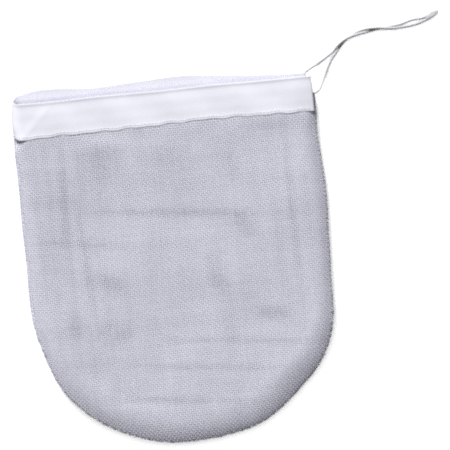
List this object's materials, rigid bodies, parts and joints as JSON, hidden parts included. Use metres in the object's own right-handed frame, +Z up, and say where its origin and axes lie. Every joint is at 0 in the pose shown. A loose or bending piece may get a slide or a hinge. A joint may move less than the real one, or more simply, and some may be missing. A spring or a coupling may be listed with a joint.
{
  "type": "mesh produce bag",
  "caption": "Flat round-bottomed drawstring bag of fine woven mesh, with a hem tunnel round its mouth and the cord run out to one side, for washing, straining or carrying produce.",
  "frame": {"origin": "on the surface the bag lies on, under the middle of the bag's own outline, the cord not counted", "axes": "+Y from the round bottom towards the mouth, +X towards the side where the cord leaves the hem, +Z up out of the front panel"},
  "size_m": [0.3647, 0.3383, 0.016],
  "materials": {
    "mesh_cloth": "fine plain-woven mesh of off-white monofilament with a faint lavender cast, slightly glossy threads",
    "hem_cloth": "dense off-white cloth, folded and soft, matte",
    "sewing_thread": "white polyester sewing thread",
    "cord": "white braided cord, satin",
    "fused_end": "cord fused by heat, smooth and slightly glossy"
  },
  "bodies": {
    "bag": {"front_panel": "mesh_cloth", "rear_panel": "mesh_cloth", "hem_casing": "hem_cloth", "seam_overlock": "sewing_thread", "seam_stitching": "sewing_thread", "front_hem_stitching": "sewing_thread", "rear_hem_stitching": "sewing_thread", "slit_bar_tack": "sewing_thread", "left_bar_tack": "sewing_thread"},
    "drawstring": {"drawstring_in_hem": "cord", "drawstring_front_leg": "cord", "drawstring_rear_leg": "cord", "drawstring_tip": "fused_end"}
  },
  "joints": [
    {"name": "drawstring_pull", "type": "slide", "parent": "bag", "child": "drawstring", "axis": [1, 0, 0], "range_m": [0, 0.12], "deforming": ["hem_casing"]}
  ]
}
